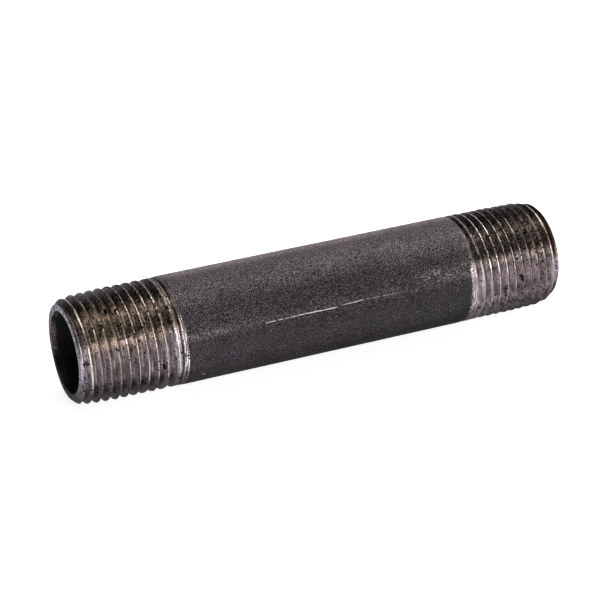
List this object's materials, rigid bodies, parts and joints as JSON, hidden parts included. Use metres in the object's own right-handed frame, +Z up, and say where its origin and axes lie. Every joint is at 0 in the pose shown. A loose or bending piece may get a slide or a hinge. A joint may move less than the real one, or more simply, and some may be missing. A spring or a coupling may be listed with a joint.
{
  "type": "threaded pipe nipple",
  "caption": "Straight length of black steel pipe with a right-hand tapered pipe thread cut on each end, a dark lacquered barrel between the threads and a plain through bore.",
  "frame": {"origin": "middle of the pipe, on its axis", "axes": "+X along the pipe axis towards the far threaded end, +Z up with the pipe lying level"},
  "size_m": [0.1016, 0.0214, 0.0214],
  "materials": {
    "steel_cut": "machined, dull",
    "lacquer_black": "satin, finely grained",
    "scale_dark": "matte"
  },
  "bodies": {
    "root": {"pipe_body": "steel_cut", "lacquer_film": "lacquer_black", "bore_film": "scale_dark"}
  },
  "joints": []
}
